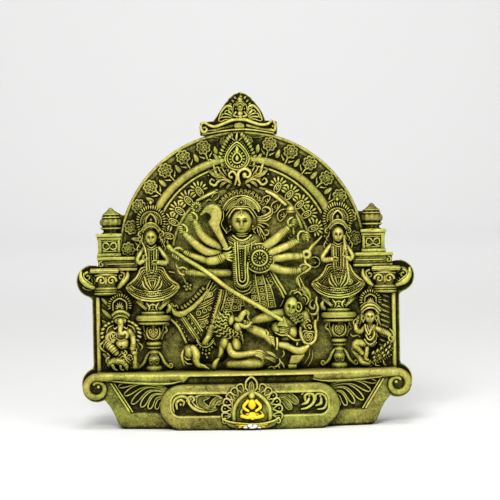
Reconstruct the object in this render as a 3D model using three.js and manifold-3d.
import * as THREE from 'three';
import { mergeVertices } from 'three/addons/utils/BufferGeometryUtils.js';
import Module from 'manifold-3d';

// A one-piece cast relief of Durga and her company under an arch, on its bow-fronted plinth.
// Millimetres, +X to the viewer's right, +Y to the back, +Z up.
// The origin is on the underside, in the middle of the width and of the depth.

// Driving dimensions
const PLATE_BACK = 30;
const PLATE_THICKNESS = 9;
const EMBED = 2;
const SINK = 0.7;
const HALF_WIDTH = 137.5;
const DECK_HEIGHT = 44.5;
const FOOT_HALF_WIDTH = 100;
const LOBE_RADIUS = 13.4;
const LOBE_STEP = 2.7;
const COLUMN_EDGE_INSET = 12.4;
const ARCH_RADIUS = 100.5;
const ARCH_OFFSET = -2.3;
const ARCH_SPRING = 92.9;
const ARCH_STEPS = 24;
const RIM_WIDTH = 2.2;
const RIM_RELIEF = 3;
const FLOWER_COUNT = 16;
const FLOWER_LEAD = -1.9;
const FLOWER_RADIUS = 6;
const FLOWER_RELIEF = 3.4;
const ROLL_INSET = 22.3;
const ROLL_RADIUS = 3;
const FILLET_INSET = 27.5;
const FILLET_WIDTH = 2.2;
const PALMETTE_INSET = 39.5;
const INNER_RING_INSET = 44;
const CORNICE_RISE = 9;
const ATTENDANT_OFFSET = 75.4;
const COLUMN_INSET = 24.6;
const COLUMN_RADIUS = 7.5;
const BODY_BOW = 16;
const BODY_END = 2;
const RAIL_OVERHANG = 3;
const RAIL_HEIGHT = 7.5;
const SCROLL_RADIUS = 11.8;
const SCROLL_FRONT = 7;
const CARTOUCHE_HALF_WIDTH = 72;
const CARTOUCHE_HEIGHT = 34;
const CARTOUCHE_BOW = 25;
const CARTOUCHE_END = 20;
const CARTOUCHE_OFFSET = 1.8;
const PANEL_DEPTH = 3;
const CHANNEL_DEPTH = 7;
const CHANNEL_LEFT = -50;
const CHANNEL_RIGHT = 53;
const MEDALLION_OFFSET = 3.6;
const MEDALLION_FRONT = 30;

// The front drawing: x across, z up from its own ground line, out from the plate's face.
// Its deck line lies at DECK_LINE, so all that stands over the deck moves with DECK_HEIGHT.
// Forms rise by LEAN of what they stand out, as the carving is meant to be seen from just above.
const DECK_LINE = 47.7;
const LEAN = 0.07;
const PLATE_FACE = PLATE_BACK - PLATE_THICKNESS;
const GROUND_SHIFT = DECK_HEIGHT - DECK_LINE;
const ARCH_LEVEL = DECK_LINE + ARCH_SPRING;
const SIDES = [-1, 1];

const wasm = await Module();
wasm.setup();

// A point of the drawing in space.
function spot(x, z, out = 0) {
  return new THREE.Vector3(x, PLATE_FACE - out, z + GROUND_SHIFT + LEAN * out);
}

// A closed three.js geometry as a solid: shared corners merged, collapsed faces left out.
function solid(geometry) {
  const bare = geometry.index ? geometry.toNonIndexed() : geometry.clone();
  bare.deleteAttribute('normal');
  bare.deleteAttribute('uv');
  const merged = mergeVertices(bare, 1e-4);
  const corners = merged.index.array;
  const faces = [];
  for (let i = 0; i < corners.length; i += 3) {
    const [a, b, c] = [corners[i], corners[i + 1], corners[i + 2]];
    if (a !== b && b !== c && c !== a) faces.push(a, b, c);
  }
  return new wasm.Manifold(new wasm.Mesh({
    numProp: 3,
    vertProperties: new Float32Array(merged.attributes.position.array),
    triVerts: new Uint32Array(faces),
  }));
}

// Joins a list of solids pair by pair, so that no join grows large early.
function fuse(solids) {
  let list = solids.flat(Infinity);
  while (list.length > 1) {
    const next = [];
    for (let i = 0; i < list.length; i += 2) {
      next.push(i + 1 < list.length ? list[i].add(list[i + 1]) : list[i]);
    }
    list = next;
  }
  return list[0];
}

// A drawn shape raised from out0 to out1.
function raised(shape, out0, out1, curveSegments = 8, lift = GROUND_SHIFT) {
  const geometry = new THREE.ExtrudeGeometry(shape, {
    depth: out1 - out0,
    bevelEnabled: false,
    curveSegments,
  });
  geometry.rotateX(Math.PI / 2);
  geometry.translate(0, PLATE_FACE - out0, lift);
  return solid(geometry);
}

// A straight-sided outline through [x, z] corners.
function outline(corners) {
  return new THREE.Shape(corners.map(([x, z]) => new THREE.Vector2(x, z)));
}

// A disc of the drawing raised from the plate.
function disc(x, z, radius, out0, out1, segments = 16) {
  const shape = new THREE.Shape();
  shape.absarc(x, z, radius, 0, Math.PI * 2);
  return raised(shape, out0, out1, segments / 2);
}

// Part of a flat ring about (x, z): angles in degrees, clockwise from straight up.
function arcBand(x, z, inner, outer, from, to, out, steps) {
  const corners = [];
  for (const [radius, a0, a1] of [[outer, from, to], [inner, to, from]]) {
    for (let i = 0; i <= steps; i += 1) {
      const angle = THREE.MathUtils.degToRad(a0 + (a1 - a0) * i / steps);
      corners.push([x + radius * Math.sin(angle), z + radius * Math.cos(angle)]);
    }
  }
  return raised(outline(corners), -EMBED, out);
}

// A flower or a fan of rays: a low cone whose rim swings in and out, one point to a petal.
// The radius is the one that shows where the cone leaves the face at out = base.
function bloom(x, z, radius, petals, crest, base = 0, notch = 0.72) {
  const sunk = base - SINK;
  const reach = radius * (crest - sunk) / (crest - base);
  const profile = [[0, sunk], [reach, sunk], [0, crest]];
  const geometry = new THREE.LatheGeometry(profile.map(([r, y]) => new THREE.Vector2(r, y)), petals * 2);
  const position = geometry.attributes.position;
  for (let i = 0; i < position.count; i += 1) {
    const share = Math.floor(i / profile.length) % 2 ? notch : 1;
    position.setX(i, position.getX(i) * share);
    position.setZ(i, position.getZ(i) * share);
  }
  geometry.rotateX(Math.PI);
  const centre = spot(x, z, 0);
  geometry.translate(centre.x, centre.y, centre.z);
  return solid(geometry);
}

// An egg or ball standing in the relief, turned in the plane of the plate.
function egg(x, z, out, halfWidth, halfHeight, halfDepth, turn = 0, around = 6, down = 4) {
  const geometry = new THREE.SphereGeometry(1, around, down);
  geometry.scale(halfWidth, halfDepth, halfHeight);
  geometry.rotateY(THREE.MathUtils.degToRad(turn));
  const centre = spot(x, z, out);
  geometry.translate(centre.x, centre.y, centre.z);
  return solid(geometry);
}

// A leaf or petal from a root to a tip: eight faces with a ridge along the middle.
function leaf(x0, z0, x1, z1, width, out, rise) {
  const length = Math.hypot(x1 - x0, z1 - z0);
  const geometry = new THREE.OctahedronGeometry(1, 0);
  geometry.scale(length / 2, rise, width / 2);
  geometry.rotateY(-Math.atan2(z1 - z0, x1 - x0));
  const centre = spot((x0 + x1) / 2, (z0 + z1) / 2, out);
  geometry.translate(centre.x, centre.y, centre.z);
  return solid(geometry);
}

// A round limb through [x, z, out, radius] stations, tapering evenly from each to the next.
function tube(stations, sides = 4, steps = stations.length) {
  const points = stations.map(([x, z, out]) => spot(x, z, out));
  const path = points.length > 2 ? new THREE.CatmullRomCurve3(points) : new THREE.LineCurve3(...points);
  const lengths = [0];
  for (let i = 1; i < points.length; i += 1) {
    lengths.push(lengths[i - 1] + points[i].distanceTo(points[i - 1]));
  }
  const radiusAt = (share) => {
    const reach = share * lengths[lengths.length - 1];
    const i = Math.max(1, lengths.findIndex((length) => length >= reach - 1e-9));
    const part = (reach - lengths[i - 1]) / (lengths[i] - lengths[i - 1]);
    return stations[i - 1][3] + (stations[i][3] - stations[i - 1][3]) * part;
  };
  const options = { steps, extrudePath: path, bevelEnabled: false };
  const geometry = new THREE.ExtrudeGeometry(ngon(1, sides), options);
  const centres = path.getSpacedPoints(steps);
  const position = geometry.attributes.position;
  const corner = new THREE.Vector3();
  for (let i = 0; i < position.count; i += 1) {
    corner.fromBufferAttribute(position, i);
    const distances = centres.map((centre) => centre.distanceTo(corner));
    const nearest = distances.indexOf(Math.min(...distances));
    corner.sub(centres[nearest]).multiplyScalar(radiusAt(nearest / steps)).add(centres[nearest]);
    position.setXYZ(i, corner.x, corner.y, corner.z);
  }
  return solid(geometry);
}

// A regular section with the given number of sides.
function ngon(radius, sides) {
  const corners = [];
  for (let i = 0; i < sides; i += 1) {
    const angle = i * 2 * Math.PI / sides;
    corners.push([radius * Math.cos(angle), radius * Math.sin(angle)]);
  }
  return outline(corners);
}

// A ridge of even section carried through [x, z, out] points.
function ridge(points, radius, steps = 4, sides = 3) {
  const path = new THREE.CatmullRomCurve3(points.map(([x, z, out]) => spot(x, z, out)));
  const section = ngon(radius, sides);
  return solid(new THREE.ExtrudeGeometry(section, { steps, extrudePath: path, bevelEnabled: false }));
}

// A ridge wound into a flat spiral from an outer radius to an inner one; angles as in arcBand.
function volute(x, z, outer, inner, from, sweep, out, radius, steps = 4) {
  const points = [];
  for (let i = 0; i <= steps; i += 1) {
    const angle = THREE.MathUtils.degToRad(from + sweep * i / steps);
    const reach = outer + (inner - outer) * i / steps;
    points.push([x + reach * Math.sin(angle), z + reach * Math.cos(angle), out]);
  }
  return ridge(points, radius, steps);
}

// A turned form standing upright in the relief: [radius, z, notch] from foot to top, its depth
// a share of its width. A row's notch draws in every other facet, as the folds of a skirt do.
// A pose [x, z, out, turn] sets its foot elsewhere and leans it in the plane of the plate.
function turned(x, out, profile, segments = 7, pose = [x, 0, out, 0], depth = 1) {
  const rows = [[0, profile[0][1]], ...profile, [0, profile[profile.length - 1][1]]];
  const geometry = new THREE.LatheGeometry(rows.map(([r, z]) => new THREE.Vector2(r, z)), segments);
  const position = geometry.attributes.position;
  for (let i = 0; i < position.count; i += 1) {
    const notch = rows[i % rows.length][2] ?? 1;
    const share = Math.floor(i / rows.length) % 2 ? notch : 1;
    position.setX(i, position.getX(i) * share);
    position.setZ(i, position.getZ(i) * share);
  }
  geometry.rotateX(Math.PI / 2);
  geometry.scale(1, depth, 1);
  geometry.rotateY(THREE.MathUtils.degToRad(pose[3]));
  const foot = spot(pose[0], pose[1], pose[2]);
  geometry.translate(foot.x, foot.y, foot.z);
  return solid(geometry);
}

// A turned form whose axis points at the viewer: [radius, out] from its root to its crest.
function boss(x, z, profile, segments = 10) {
  const points = profile.map(([r, out]) => new THREE.Vector2(r, out));
  points.unshift(new THREE.Vector2(0, profile[0][1]));
  points.push(new THREE.Vector2(0, profile[profile.length - 1][1]));
  const geometry = new THREE.LatheGeometry(points, segments);
  geometry.rotateX(Math.PI);
  const centre = spot(x, z, 0);
  geometry.translate(centre.x, centre.y, centre.z);
  return solid(geometry);
}

// A point on a circle about the arch's centre, clockwise in degrees from straight up.
function archPoint(radius, angle) {
  const a = THREE.MathUtils.degToRad(angle);
  return [ARCH_OFFSET + radius * Math.sin(a), ARCH_LEVEL + radius * Math.cos(a)];
}

// Backing plate: arch, side strips, and the lobes behind the capitals and the plinth's scrolls.
function backingPlate() {
  const edge = HALF_WIDTH - COLUMN_EDGE_INSET;
  const corners = [];
  for (let i = 0; i <= ARCH_STEPS; i += 1) corners.push(archPoint(ARCH_RADIUS, -90 + 180 * i / ARCH_STEPS));
  corners.push([edge, ARCH_LEVEL - 10], [edge, 24], [-edge, 24], [-edge, ARCH_LEVEL - 10]);
  const parts = [raised(outline(corners), -PLATE_THICKNESS, 0)];
  const lobe = HALF_WIDTH - LOBE_RADIUS;
  for (const side of SIDES) {
    parts.push(disc(side * lobe, 121.2, LOBE_RADIUS, -PLATE_THICKNESS, 0, 12));
    parts.push(disc(side * (lobe - LOBE_STEP), 37.1, LOBE_RADIUS, -PLATE_THICKNESS, 0, 12));
  }
  return parts;
}

// A ridge along part of a circle about the arch's centre.
function archRidge(radius, from, to, out, thickness, steps) {
  const points = [];
  for (let i = 0; i <= steps; i += 1) points.push([...archPoint(radius,
    from + (to - from) * i / steps), out]);
  return ridge(points, thickness, steps);
}

// The arch: rim, flowers, leaves between them, roll, fillet, palmettes and the inner ring.
function arch() {
  const rimFrom = -90 + 180 / ARCH_STEPS;
  const parts = [arcBand(ARCH_OFFSET, ARCH_LEVEL, ARCH_RADIUS - RIM_WIDTH, ARCH_RADIUS, rimFrom, -rimFrom,
    RIM_RELIEF, ARCH_STEPS - 2)];

  const flowerRing = ARCH_RADIUS - RIM_WIDTH - FLOWER_RADIUS + 0.7;
  const rollRing = ARCH_RADIUS - ROLL_INSET;
  const pitch = 180 / FLOWER_COUNT;
  for (let k = 0; k < FLOWER_COUNT; k += 1) {
    const angle = FLOWER_LEAD + pitch * (k + 0.5 - FLOWER_COUNT / 2);
    const size = Math.abs(angle) < pitch ? 0.75 : 1;
    parts.push(bloom(...archPoint(flowerRing, angle), FLOWER_RADIUS * size, 5, FLOWER_RELIEF));
  }
  for (let k = 1; k < FLOWER_COUNT; k += 1) {
    const angle = FLOWER_LEAD + pitch * (k - FLOWER_COUNT / 2);
    const root = archPoint(rollRing + ROLL_RADIUS + 1, angle);
    const tip = archPoint(rollRing + ROLL_RADIUS + 12, angle);
    if (k !== FLOWER_COUNT / 2) parts.push(leaf(...root, ...tip, 4.2, 0.2, 2.2));
  }
  parts.push(archRidge(rollRing, -80, 80, 1.2, ROLL_RADIUS, 12));
  parts.push(archRidge(ARCH_RADIUS - FILLET_INSET, -64, 61, 0.5, FILLET_WIDTH, 9));

  const palmetteRing = ARCH_RADIUS - PALMETTE_INSET;
  for (const side of SIDES) {
    for (let k = 0; k < 5; k += 1) {
      const angle = side * (31 + 10.6 * k) - (side < 0 ? 2 : 0);
      parts.push(bloom(...archPoint(palmetteRing + 2, angle), 5.6, 4, 2.8, 0, 0.6));
    }
    const from = side < 0 ? -66 : 15;
    parts.push(archRidge(ARCH_RADIUS - INNER_RING_INSET, from, from + 50, 0.4, 1.7, 3));
  }
  return parts;
}

// The gable over the arch: cornice with curled ends, and a small seated figure between shells.
function gable() {
  const top = ARCH_LEVEL + ARCH_RADIUS;
  const base = top + CORNICE_RISE - 3;
  const backing = new THREE.Shape();
  backing.moveTo(-34.3, top - 6);
  backing.lineTo(27.6, top - 6);
  backing.lineTo(27.6, base);
  backing.lineTo(18, base + 3);
  backing.quadraticCurveTo(11, base + 21, -1.2, base + 26.1);
  backing.quadraticCurveTo(-13, base + 22, -23, base + 3);
  backing.lineTo(-34.3, base);
  const parts = [raised(backing, -PLATE_THICKNESS, 1.2, 3)];
  const wave = [[-32, base + 1.4], [-23, base + 0.6], [-12, base + 3], [-2.5, base + 5], [7, base + 3.4],
    [17, base + 0.6], [25.5, base + 1.4]];
  parts.push(raised(outline([[-32, top - 1], [25.5, top - 1], ...wave.slice().reverse()]), -EMBED, 3.6));
  for (const x of [-31.5, 24.8]) parts.push(disc(x, base - 1.4, 3.2, -EMBED, 5, 6));
  parts.push(turned(-2, 2.4, [[4.4, base + 2], [3.6, base + 7], [2, base + 10.4], [2.6, base + 12.6],
    [2.2, base + 15], [0.8, base + 22.4]], 6));
  for (const side of SIDES) {
    for (let k = 0; k < 3; k += 1) {
      const a = THREE.MathUtils.degToRad(side * (30 + 26 * k));
      const root = [-2 + side * 6.5 + 2.5 * Math.sin(a), base + 5.3 + 2.5 * Math.cos(a)];
      const reach = 9.8 - 0.4 * k;
      parts.push(leaf(...root, root[0] + reach * Math.sin(a), root[1] + reach * Math.cos(a), 4, 1.2, 2));
    }
  }
  return parts;
}

// The jewel at the crown of the arch: drop, fringe and scrolling leaves.
function jewel() {
  const [cx, cz] = [-4.3, 219.5];
  const drop = (scale) => outline([[-0.8, 12], [9, 2], [9.4, -4.6], [5, -9], [-5, -9], [-9.4, -4.6],
    [-9, 2]]
    .map(([x, z]) => [cx + x * scale, cz + z * scale]));
  const parts = [raised(drop(1.12), -EMBED, 4), raised(drop(0.6), 3, 6.6)];
  for (let k = 0; k < 9; k += 1) {
    const a = THREE.MathUtils.degToRad(-108 + 27 * k);
    const stretch = 1 + 0.22 * Math.cos(a);
    const [inner, outer] = [12.6 * stretch, 18.4 * stretch];
    parts.push(leaf(cx + inner * Math.sin(a), cz + inner * Math.cos(a), cx + outer * Math.sin(a + 0.12),
      cz + outer * Math.cos(a + 0.12), 4.4, 1.4, 2.6));
  }
  parts.push(volute(-8.5, 206, 3.4, 1.2, -90, 300, 2.4, 2));
  parts.push(volute(1.2, 205, 4.6, 1.6, 90, -300, 2.4, 2.2));
  const blades = [[-14, 204, -26.5, 219], [-10, 197, -27, 203], [3, 201, 20, 199], [11, 204, 19.5, 217]];
  for (const blade of blades) parts.push(leaf(...blade, 5, 1.4, 3));
  return parts;
}

// Durga: halo, tiara, head, trunk with its long garland, and her hair to one side.
function durgaBody() {
  const parts = [bloom(-2.5, 173.5, 20.5, 11, 11, 0, 0.88)];
  parts.push(disc(-2.5, 174, 13.6, 2, 9, 10));
  parts.push(bloom(-2.5, 182.4, 4.4, 5, 12.6, 9));
  parts.push(egg(-2, 168, 12, 7.7, 8.8, 8.5, 0, 8, 5));
  parts.push(turned(-1.8, 7, [[8, 98], [10, 112], [8.2, 126], [12, 149], [4.4, 156], [4, 163]], 7));
  parts.push(ridge([[-6, 151, 15.4], [-2.5, 116, 14.6], [1, 151, 15.4]], 2, 4));
  const locks = [[8, 170, 17, 176], [9, 166, 23, 174], [-10, 168, -15, 162]];
  for (const lock of locks) parts.push(leaf(...lock, 4.8, 2.4, 3));
  parts.push(volute(17.4, 176.6, 3.6, 1.6, 60, 300, 2, 2));
  parts.push(volute(32, 171, 4.4, 2, 0, 300, 0.6, 1.8));
  return parts;
}

// Durga's arms, from where each leaves the trunk to its hand.
function durgaArms() {
  const arms = [
    [[-12, 144, 6, 4], [-28, 151, 10, 3.4], [-39, 165, 11, 2.3], [-43.5, 173, 11, 3.2]],
    [[-12, 139, 6, 4], [-30, 145, 10, 3.3], [-46, 156, 11, 2.4], [-52, 163, 11, 3.2]],
    [[-10, 136, 6, 3.6], [-29, 138, 10, 3.1], [-49, 143, 11, 2.2], [-57, 146.6, 11, 3]],
    [[-26, 137, 7, 3.2], [-29, 135.8, 10, 3], [-19, 137.6, 13, 2.4], [-10, 139.4, 14.5, 3.6]],
    [[-10, 127, 5, 3.4], [-32, 127, 9, 2.9], [-46, 127.5, 10, 2.1], [-54, 128, 10, 3]],
    [[9, 144, 6, 4], [21, 151, 10, 3.4], [33, 160, 11, 2.4], [38.4, 168, 11, 3.2]],
    [[9, 140, 6, 4], [22, 143.8, 10, 3.3], [40, 149, 11, 2.3], [48, 155.6, 11, 3.2]],
    [[11, 137, 6, 3.6], [26, 136.6, 10, 3.3], [42, 138.4, 11, 2.2], [50, 140, 11, 3.2]],
    [[11, 134, 5, 3.4], [24, 130, 9, 3.2], [41, 126.6, 10, 2.1], [49.6, 128.6, 10, 3]],
  ];
  return arms.map((stations) => tube(stations, 4, 3));
}

// What the hands hold: sword, spear, round shield, disc, mace, shell, noose and star.
function durgaAttributes() {
  const sword = outline([[-13, 144], [-16, 157], [-20, 164], [-18, 174], [-20, 180.5], [-25, 182.8],
    [-31, 180.5], [-36.5, 173.5], [-30, 174], [-27.3, 171.5], [-29.8, 166], [-24, 157], [-17, 144]]);
  return [
    raised(sword, 6, 11.5),
    tube([[-62, 148.5, 12, 1.8], [29, 86.6, 18, 2]], 4, 1),
    tube([[28, 87.3, 18, 3.4], [34.5, 82, 16, 0.6]], 4, 1),
    boss(11.5, 137.5, [[10, 5], [11.8, 12], [8, 14.6], [0.8, 16.6]]),
    tube([[-42, 174, 10, 1.6], [-38.5, 181, 10, 4]], 4, 1),
    turned(37.5, 5, [[5, 173.4], [5, 175], [0.8, 180.8]], 5),
    leaf(37, 166, 50, 160, 4, 1.4, 3),
    volute(49, 140, 4.4, 4, 0, 330, 9, 1.8, 5),
    tube([[52, 143, 9, 1.6], [62, 152.6, 0, 1.2]], 4, 1),
    ridge([[48.5, 136, 9], [52.5, 129.5, 8], [46, 125.5, 8], [41.5, 119, 8], [43.6, 111, 8]], 1.9, 4),
    bloom(-47, 115.4, 4.4, 5, 4.4),
    tube([[-51, 126, 9, 1.4], [-47, 117, 2, 1.4]], 4, 1),
  ];
}

// Durga's spread skirts: a ground with borders, stripes and a fringed hem.
function durgaSkirts() {
  const left = outline([[-8, 116], [-20, 124], [-27, 120], [-36, 106], [-44, 98], [-58, 94], [-60, 89],
    [-50, 69],
    [-40, 71], [-34, 64], [-24, 72], [-22, 84], [-8, 90]]);
  const right = outline([[-10, 118], [-16, 96], [-8, 88], [22, 90], [31, 106], [22, 128], [6, 130]]);
  const parts = [raised(left, -EMBED, 3.4), raised(right, -EMBED, 5)];
  const borders = [
    [[-26, 119, 3], [-36, 106, 3], [-57, 94, 3]],
    [[-58, 90, 3], [-49, 71, 3]],
    [[-50, 90, 3], [-41, 74, 3]],
    [[-20, 112, 3], [-26, 86, 3]],
    [[-11, 112, 4.6], [-15, 96, 4.6]],
    [[8, 118, 4.6], [14, 94, 4.6]],
    [[18, 127, 4.6], [24.5, 117, 4.6], [29, 106, 4.6]],
  ];
  for (const line of borders) parts.push(ridge(line, 2.2, line.length - 1));
  for (let k = 0; k < 4; k += 1) {
    const x = -39.5 + 3.8 * k;
    const z = 66 - 1.5 * Math.sin(Math.PI * (k + 1) / 5) - 1.4;
    parts.push(leaf(x, z, x + 1.8, z - 5 + Math.abs(k - 1.5) * 1.4, 3, 1.4, 2.6));
  }
  parts.push(tube([[-27, 88, 2, 3.4], [-30, 78, 4, 3], [-32, 69, 5, 2.6]], 4, 2));
  return parts;
}

// The lion at Durga's feet, its paw over the fallen buffalo.
function lion() {
  return [
    tube([[-51, 60, 5, 7], [-40, 63, 7, 8.4], [-24, 66, 8, 7.4], [-8, 69, 12, 8.6]], 6, 3),
    tube([[-45, 63, 10, 6], [-40, 55, 12, 4], [-29, 48.6, 13, 2.6]], 5, 2),
    egg(-13, 82, 10, 9.5, 15.5, 9, 12, 7, 4),
    [0, 1, 2].map((k) => leaf(-13 - 1.8 * k, 90 - 5 * k, -23, 93 - 9 * k, 6, 11, 4)),
    tube([[-13, 83, 14, 6.6], [-6, 86.4, 18, 4.8], [3.4, 95.6, 17, 1.6]], 5, 2),
    tube([[-12, 81, 15, 4], [4, 83.6, 18, 1.6]], 4, 1),
    tube([[-15, 68, 13, 5.4], [-9, 59.6, 16, 3.6], [8, 60, 17, 3.2], [21, 56.4, 16, 3]], 5, 3),
    egg(0, 51.6, 11, 14.4, 6, 9, 2),
    leaf(-27.4, 45, -23, 57, 4, 7, 4),
    leaf(12, 56, 30, 46, 6, 8, 4),
  ];
}

// The demon leaning back to the right, held by the hair, with his own shield.
function demon() {
  return [
    turned(0, 0, [[4, 0], [5.4, 5], [5.6, 10], [4.6, 15], [2, 19]], 7, [41.6, 90, 10, -16]),
    volute(52.8, 94, 4, 2, 0, 300, 1.2, 3),
    tube([[46, 93, 6, 4], [34, 89, 9, 6], [18, 89.4, 12, 3.8], [7, 87, 12, 2.8]], 5, 3),
    tube([[24, 91, 8, 8], [31, 83, 10, 9.4], [38, 74, 10, 6.4]], 6, 2),
    tube([[3, 83, 5, 3], [14, 76.4, 11, 3.4], [24, 66, 12, 3]], 4, 2),
    tube([[27, 72, 11, 4.6], [37, 64, 13.6, 4.6], [46, 63, 13.4, 4.6], [40, 55, 12.4, 4.2],
      [35, 46.6, 12.4, 3.6]], 5, 4),
    bloom(49.6, 73.4, 9.8, 3, 11, 0, 0.8),
  ];
}

// A standing attendant on a turned pedestal; u is measured outwards from her own axis.
function attendant(side) {
  const x = (u) => side * (ATTENDANT_OFFSET + u);
  const axis = x(0);
  const body = [[4.6, 94], [4.4, 104], [18, 112, 0.74], [5.2, 131], [7.6, 146], [2.8, 151], [2.8, 156]];
  return [
    bloom(axis, 168.5, 15, 9, 6.4, 0, 0.84),
    disc(axis, 166.6, 9.4, 1, 5, 8),
    bloom(axis, 172, 5, 5, 7.6, 5),
    egg(axis, 157.4, 10, 4.9, 7, 6, 0, 7, 5),
    turned(axis, 4, body, 10, undefined, 0.72),
    ridge([[axis - 2.6, 146, 9.2], [axis, 128, 8], [axis + 2.6, 146, 9.2]], 1.5, 2),
    tube([[x(6), 146, 5, 2.8], [x(13), 137.6, 7.6, 2.4], [x(3), 136, 10, 2.2]], 4, 2),
    tube([[x(-6), 147, 5, 2.8], [x(-13), 138, 7.6, 2.4], [x(-2.4), 135, 10, 2.2]], 4, 2),
  ];
}

// The instrument that the right attendant holds across herself.
function veena() {
  const axis = ATTENDANT_OFFSET;
  return [
    tube([[axis + 4.6, 152, 11, 1.4], [axis + 8.4, 119, 10, 1.6]], 4, 1),
    egg(axis + 8.8, 117.4, 7.6, 4.2, 4.4, 4),
  ];
}

// A turned pedestal with an urn, side scrolls and splayed legs.
function pedestal(side) {
  const axis = side * ATTENDANT_OFFSET;
  const profile = [[6.4, DECK_LINE - EMBED], [3, 57], [4.2, 65], [5.4, 70], [3.8, 72], [6, 79], [4.4, 85],
    [13.8, 88], [13.8, 92.4], [9.8, 92.8], [9.8, 95.4]];
  const parts = [turned(axis, 5, profile, 6)];
  for (const turn of SIDES) {
    parts.push(ridge([[axis + turn * 2, 63, 2], [axis + turn * 14, 48, 2]], 2.2, 1));
    parts.push(ridge([[axis + turn * 10.6, 88, 2], [axis + turn * 8.6, 80, 2],
      [axis + turn * 5, 73, 2]], 2, 2));
  }
  return parts;
}

// The elephant-headed figure seated in front of the left column, with the mouse below.
function ganesha() {
  return [
    bloom(-102.2, 100, 9.8, 6, 7, 0, 0.8),
    turned(-101.8, 5, [[7, 60], [8, 66], [7.4, 74], [8, 79], [5, 82], [6.6, 88], [6.6, 93],
      [7.4, 95.6], [1, 110.6]], 7),
    tube([[-101.4, 91, 8, 5], [-101.8, 80, 13, 2.4], [-95.6, 76.6, 13, 1.8]], 5, 2),
    leaf(-109, 89, -114, 75, 9, 5, 3),
    leaf(-94.4, 89, -89.4, 75, 9, 5, 3),
    tube([[-108, 77, 6, 2.8], [-115.6, 70, 9, 2.6], [-103, 61, 12, 3]], 4, 2),
    tube([[-94, 79, 6, 3], [-90.4, 68, 9, 2.6], [-100, 59.6, 12, 3]], 4, 2),
    egg(-103, 53.4, 6, 9, 5.6, 6),
    leaf(-93, 61, -94, 45, 7, 5, 5),
  ];
}

// The young warrior seated on a peacock in front of the right column.
function kartikeya() {
  return [
    bloom(100.7, 101.6, 9.8, 6, 7, 0, 0.8),
    turned(100.2, 5, [[5, 62], [5.6, 67], [4.2, 72], [7.4, 80], [3, 83], [5, 86], [4.8, 93], [7.6, 95],
      [1, 110.6]], 7),
    tube([[106, 80, 6, 2.8], [117, 74.6, 8, 2.4], [118, 67, 10, 2.6]], 4, 2),
    tube([[93.6, 80, 6, 2.8], [88, 77, 7, 2.4], [88, 86, 8, 2.6]], 4, 2),
    tube([[98, 67, 8, 3.6], [96.6, 54, 10, 2.4]], 4, 1),
    tube([[100, 58, 6, 4], [119, 71, 4, 2]], 4, 1),
    tube([[98, 51, 6, 3.8], [120, 64, 4, 1.8]], 4, 1),
    tube([[83, 70, 6, 1.8], [89, 66.4, 8, 2.8], [94, 60, 9, 4], [99, 51, 7, 3.6]], 5, 3),
  ];
}

// A side column: fluted shaft, ringed neck and scrolled capital.
function column(side) {
  const axis = side * (HALF_WIDTH - COLUMN_INSET);
  const edge = side * (HALF_WIDTH - COLUMN_EDGE_INSET);
  const neck = 109.4 - side;
  const parts = [turned(axis, 0, [[COLUMN_RADIUS, DECK_LINE - EMBED], [COLUMN_RADIUS, neck], [10.3, neck],
    [10.3, neck + 5.6], [7.8, neck + 7], [9.6, neck + 18]], 6)];
  parts.push(ridge([[edge - side * 4, DECK_LINE - EMBED, 1.4], [edge - side * 4, neck + 2, 1.4]], 2.4, 1));
  for (let k = 0; k < 3; k += 1) {
    const z = 84 + 8 * k;
    parts.push(tube([[axis + side * 6.4, z, 2.4, 2], [axis - side * 5.4, z + 10, 4.4, 2]], 3, 1));
  }
  const abacus = [axis - side * 10, axis + side * 12];
  parts.push(raised(outline([[abacus[0], neck + 17.4], [abacus[1], neck + 17.4], [abacus[1], neck + 21],
    [abacus[0], neck + 21]]), -EMBED, 9));
  for (const u of [-3.9, 4.1]) parts.push(disc(axis + u, neck + 11, 4.4, -EMBED, 9.4, 6));
  parts.push(ridge([[axis + side * 20, neck + 19, 1], [axis + side * 19, neck + 10, 2.4],
    [axis + side * 9.6, neck + 5.6, 2.4]], 3, 2));
  parts.push(ridge([[axis - side * 17, neck + 18.6, 1], [axis - side * 15, neck + 9, 2.4],
    [axis - side * 7.6, neck + 5, 2.4]], 3, 2));
  return parts;
}

// The stepped blocks over a capital, and the pot that stands on them.
function steps(side) {
  const shift = side < 0 ? 5.6 : 0;
  const pot = side * (103.5 + shift * 0.9);
  const box = (a, b, z0, z1, out) => {
    const [x0, x1] = [Math.min(side * a, side * b), Math.max(side * a, side * b)];
    return raised(outline([[x0, z0], [x1, z0], [x1, z1], [x0, z1]]), -PLATE_THICKNESS, out);
  };
  const inner = 95.6 + shift;
  const outer = 113.6 + shift;
  const wedge = outline([[side * 88, 158], [pot, 158], [pot, 180], [side * (96 + shift / 2), 174.4],
    [side * 88, 174.4]]);
  return [
    box(87.6, 119.4, 129.6, 140, 6),
    box(inner, outer, 139, 159.2, 4),
    box(inner, outer, 155.4, 159.2, 5.6),
    box(inner, outer, 138, 144.6, 5.6),
    box(outer - 3, outer, 143, 157, 5.6),
    turned(pot, -1.4, [[6.4, 158.4], [8.4, 163.6], [7.6, 165.4], [9.1, 168.6], [7, 173], [0.8, 180.8]]),
    raised(wedge, -PLATE_THICKNESS, 0),
  ];
}

// A front that bows forward: y of the line through (0, -middle) and (+-half, -end).
function bowed(halfWidth, middle, end, back, steps) {
  const corners = [[-halfWidth, back]];
  for (let i = 0; i <= steps; i += 1) {
    const share = -1 + 2 * i / steps;
    corners.push([share * halfWidth, -middle + (middle - end) * share * share]);
  }
  corners.push([halfWidth, back]);
  return corners;
}

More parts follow.
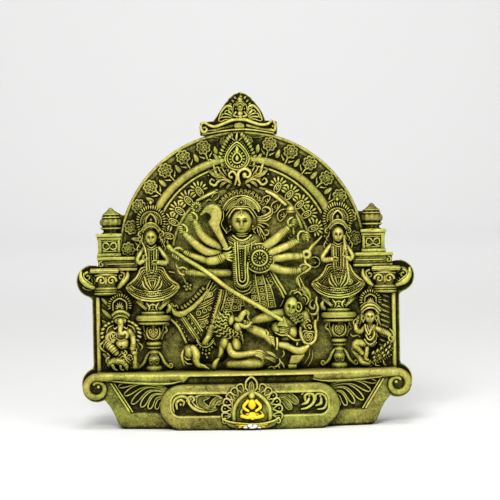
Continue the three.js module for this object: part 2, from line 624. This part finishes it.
// A plan outline of [x, y] corners raised from z0 to z1.
function storey(corners, z0, z1) {
  const shape = new THREE.Shape(corners.map(([x, y]) => new THREE.Vector2(x, y)));
  const geometry = new THREE.ExtrudeGeometry(shape, { depth: z1 - z0, bevelEnabled: false });
  geometry.translate(0, 0, z0);
  return solid(geometry);
}

// An elevation outline in true heights, from one y back to another.
function profiled(corners, front, back, curveSegments = 5) {
  const shape = Array.isArray(corners) ? outline(corners) : corners;
  return raised(shape, PLATE_FACE - back, PLATE_FACE - front, curveSegments, 0);
}

// A point in true coordinates, written as the drawing's x, z and out.
function standing(x, z, y) {
  const out = PLATE_FACE - y;
  return [x, z - GROUND_SHIFT - LEAN * out, out];
}

// The plinth: bowed body with raking ends, rail ending in scrolls, and shell panels.
function plinth() {
  const rail = DECK_HEIGHT - RAIL_HEIGHT;
  const half = HALF_WIDTH - LOBE_RADIUS - LOBE_STEP;
  const rake = [[0, 0], [FOOT_HALF_WIDTH, 0], [FOOT_HALF_WIDTH + 4, 3.5], [FOOT_HALF_WIDTH + 7.5, 12],
    [FOOT_HALF_WIDTH + 11, 18.5], [half - 6, 23.5], [half - 3, 27], [half - 3, rail + 2], [0, rail + 2]];
  const mirrored = rake.slice(1, -1).reverse().map(([x, z]) => [-x, z]);
  const elevation = profiled([...rake, ...mirrored], -60, PLATE_BACK);
  const bodyPlan = bowed(half, BODY_BOW, BODY_END, PLATE_BACK, 8);
  const railPlan = bowed(half, BODY_BOW + RAIL_OVERHANG, BODY_END + RAIL_OVERHANG, PLATE_BACK, 8);
  const sunk = storey(bowed(half, BODY_BOW - PANEL_DEPTH, BODY_END - PANEL_DEPTH, PLATE_BACK, 8), -1,
    rail + 3);
  let body = storey(bodyPlan, 0, rail + 2).intersect(elevation);
  for (const side of SIDES) {
    const panel = [[side * 60, 13], [side * 94, 13.4], [side * 108, rail], [side * 60, rail]];
    body = body.subtract(profiled(panel, -60, PLATE_FACE).subtract(sunk));
  }
  const railFront = BODY_BOW + RAIL_OVERHANG;
  const slot = [[CHANNEL_LEFT, rail - 0.5], [CHANNEL_RIGHT, rail - 0.5], [CHANNEL_RIGHT, rail + 4],
    [CHANNEL_LEFT + 4, rail + 4]];
  const channel = profiled(slot, -60, -railFront + CHANNEL_DEPTH);
  const parts = [fuse([body, storey(railPlan, rail, DECK_HEIGHT)]).subtract(channel)];

  const panelFront = (x) => -(BODY_BOW - PANEL_DEPTH) + (BODY_BOW - BODY_END) * (x / half) ** 2;
  for (const side of SIDES) {
    const fin = (x, z, rise) => standing(side * x, z, panelFront(x) - rise);
    for (let k = 0; k < 5; k += 1) {
      const root = [70, 31 - 3 * k];
      const tip = [102 - 6.4 * k, 34.4 - 4.4 * k];
      const middle = [(root[0] + tip[0]) / 2, (root[1] + tip[1]) / 2 + 2.4];
      parts.push(ridge([fin(...root, 0), fin(...middle, 0.6), fin(...tip, 0)], 2.1, 2));
    }
    parts.push(tube([[...fin(109.6, rail - 1, 2.4), 1.6], [...fin(95, 15, 2.4), 1.6]], 3, 1));
    parts.push(scroll(side, half));
  }
  return parts;
}

// The rolled end of the rail, with a hollow crescent round its eye.
function scroll(side, x) {
  const eye = [side * x, DECK_HEIGHT - SCROLL_RADIUS + 0.8];
  const round = new THREE.Shape();
  round.absarc(...eye, SCROLL_RADIUS, 0, Math.PI * 2);
  const groove = [];
  for (const [radius, a0, a1] of [[SCROLL_RADIUS * 0.58, -150, 110], [SCROLL_RADIUS * 0.28, 110, -150]]) {
    for (let i = 0; i <= 6; i += 1) {
      const angle = THREE.MathUtils.degToRad(a0 + (a1 - a0) * i / 6);
      groove.push([eye[0] + side * radius * Math.sin(angle), eye[1] + radius * Math.cos(angle)]);
    }
  }
  const roll = profiled(round, -SCROLL_FRONT, PLATE_FACE + EMBED, 9);
  return roll.subtract(profiled(groove, -SCROLL_FRONT - 1, -SCROLL_FRONT + 4));
}

// The cartouche on the plinth's front: a rounded frame about a sunk panel of scrolls and leaves.
function cartouche() {
  const half = CARTOUCHE_HALF_WIDTH;
  const round = 17;
  const x0 = CARTOUCHE_OFFSET - half;
  const x1 = CARTOUCHE_OFFSET + half;
  const frame = new THREE.Shape();
  frame.moveTo(x0 + 12, 0);
  frame.lineTo(x1 - 12, 0);
  frame.quadraticCurveTo(x1, 8, x1, CARTOUCHE_HEIGHT - round);
  frame.quadraticCurveTo(x1, CARTOUCHE_HEIGHT, x1 - round, CARTOUCHE_HEIGHT);
  frame.lineTo(x0 + round, CARTOUCHE_HEIGHT);
  frame.quadraticCurveTo(x0, CARTOUCHE_HEIGHT, x0, CARTOUCHE_HEIGHT - round);
  frame.quadraticCurveTo(x0, 8, x0 + 12, 0);
  const plan = bowed(half + 6, CARTOUCHE_BOW, CARTOUCHE_END, 0, 4);
  let body = profiled(frame, -60, -BODY_BOW + 8, 3).intersect(storey(plan, -1, CARTOUCHE_HEIGHT + 1));
  const sunk = storey(bowed(half + 6, CARTOUCHE_BOW - PANEL_DEPTH, CARTOUCHE_END - PANEL_DEPTH, 0, 4),
    -1, 60);
  const front = (x) => {
    const share = x / (half + 6);
    return -(CARTOUCHE_BOW - PANEL_DEPTH) + (CARTOUCHE_BOW - CARTOUCHE_END) * share * share;
  };
  const parts = [];
  for (const side of SIDES) {
    const u = (x) => CARTOUCHE_OFFSET + side * x;
    const on = (x, z) => standing(u(x), z, front(u(x)) - 0.8);
    const recess = new THREE.Shape();
    recess.moveTo(u(16), 12);
    recess.lineTo(u(62), 12);
    recess.quadraticCurveTo(u(67), 29, u(51), 28.5);
    recess.quadraticCurveTo(u(43), 28, u(40), 22.5);
    recess.quadraticCurveTo(u(32), 28, u(16), 26.5);
    body = body.subtract(profiled(recess, -60, 0, 3).subtract(sunk));
    const curl = (cx, cz, outer, inner, from, sweep, radius) => {
      const points = [];
      for (let i = 0; i <= 5; i += 1) {
        const angle = THREE.MathUtils.degToRad(from + sweep * i / 5);
        const reach = outer + (inner - outer) * i / 5;
        points.push(on(cx + reach * Math.sin(angle), cz + reach * Math.cos(angle)));
      }
      return ridge(points, radius, 5);
    };
    parts.push(curl(56, 20, 6, 2, 110, -330, 2));
    parts.push(curl(46.5, 20, 5.6, 1.8, -150, 320, 2));
    for (const [a, b, c, d] of [[42, 14, 26, 24.6], [29, 14, 21, 23]]) {
      const start = on(a, b);
      const end = on(c, d);
      parts.push(leaf(start[0], start[1], end[0], end[1], 5, (start[2] + end[2]) / 2, 2));
    }
  }
  return [body, ...parts];
}

// The medallion on the cartouche: a niche with a seated figure inside a ring of loops.
function medallion() {
  const c = MEDALLION_OFFSET;
  const front = -MEDALLION_FRONT;
  const wall = -CARTOUCHE_BOW + 4;
  const arched = (wide, high) => {
    const shape = new THREE.Shape();
    shape.moveTo(c - wide, 4);
    shape.lineTo(c + wide, 4);
    shape.quadraticCurveTo(c + wide * 1.12, high * 0.62, c + wide * 0.55, high * 0.87);
    shape.lineTo(c, high);
    shape.lineTo(c - wide * 0.55, high * 0.87);
    shape.quadraticCurveTo(c - wide * 1.12, high * 0.62, c - wide, 4);
    return shape;
  };
  const niche = profiled(arched(12, 25), front - 1, front + 5, 3);
  const parts = [profiled(arched(16, 29), front + 0.6, wall, 3).subtract(niche)];
  for (const side of SIDES) {
    for (let k = 0; k < 5; k += 1) {
      const angle = THREE.MathUtils.degToRad(23 + 18 * k);
      const [dx, dz] = [Math.sin(angle) * side, Math.cos(angle)];
      const root = standing(c + 13 * dx, 10 + 13 * dz, front + 4);
      const tip = standing(c + 25.4 * dx, 10 + 25.4 * dz, front + 4);
      parts.push(leaf(root[0], root[1], tip[0], tip[1], 6, tip[2], 3));
    }
  }
  const bar = [[c - 23, 7.4], [c - 12, 4.4], [c + 9, 4.4], [c + 20, 6.8], [c + 12, 0], [c - 15, 0]];
  parts.push(profiled(bar, front, wall));
  const [, level, deep] = standing(c, 0, front + 4);
  parts.push(turned(c, deep, [[8.4, level + 6], [7.4, level + 11], [4.6, level + 14], [5, level + 17],
    [2.4, level + 19], [3, level + 23], [0.8, level + 29]], 6, undefined, 0.45));
  parts.push(egg(c - 0.3, level + 34.2, deep - 2, 4.6, 6, 3.4));
  return parts;
}

const casting = fuse([
  backingPlate(),
  arch(),
  gable(),
  jewel(),
  durgaBody(),
  durgaArms(),
  durgaAttributes(),
  durgaSkirts(),
  lion(),
  demon(),
  SIDES.map((side) => [attendant(side), pedestal(side), column(side), steps(side)]),
  veena(),
  ganesha(),
  kartikeya(),
  plinth(),
  cartouche(),
  medallion(),
]);

// Everything behind the plate's back is cut off flat.
const envelope = new THREE.BoxGeometry(HALF_WIDTH * 3, PLATE_BACK * 4, HALF_WIDTH * 6);
envelope.translate(0, -PLATE_BACK, 0);
const flatBacked = casting.intersect(solid(envelope));

// The outer skin only: any shell whose faces look inwards is a hidden pocket, and is filled.
function withoutPockets({ vertProperties, triVerts }) {
  const parent = Array.from({ length: vertProperties.length / 3 }, (_, i) => i);
  const root = (i) => {
    let top = i;
    while (parent[top] !== top) top = parent[top];
    parent[i] = top;
    return top;
  };
  for (let i = 0; i < triVerts.length; i += 3) {
    for (const other of [triVerts[i + 1], triVerts[i + 2]]) parent[root(other)] = root(triVerts[i]);
  }
  const corner = (i) => new THREE.Vector3().fromArray(vertProperties, i * 3);
  const volume = new Map();
  for (let i = 0; i < triVerts.length; i += 3) {
    const [a, b, c] = [corner(triVerts[i]), corner(triVerts[i + 1]), corner(triVerts[i + 2])];
    const key = root(triVerts[i]);
    volume.set(key, (volume.get(key) ?? 0) + a.dot(b.cross(c)) / 6);
  }
  const kept = [];
  for (let i = 0; i < triVerts.length; i += 3) {
    if (volume.get(root(triVerts[i])) > 0) kept.push(triVerts[i], triVerts[i + 1], triVerts[i + 2]);
  }
  return kept;
}

const skin = flatBacked.getMesh();
const geometry = new THREE.BufferGeometry();
geometry.setAttribute('position', new THREE.BufferAttribute(skin.vertProperties, 3));
geometry.setIndex(withoutPockets(skin));

const antiqueGold = new THREE.MeshStandardMaterial({ color: 0x8f8a3e, roughness: 0.55, metalness: 0.2 });
const mesh = new THREE.Mesh(geometry, antiqueGold);
mesh.name = 'durga_casting';

const group = new THREE.Group();
group.add(mesh);

export default group;
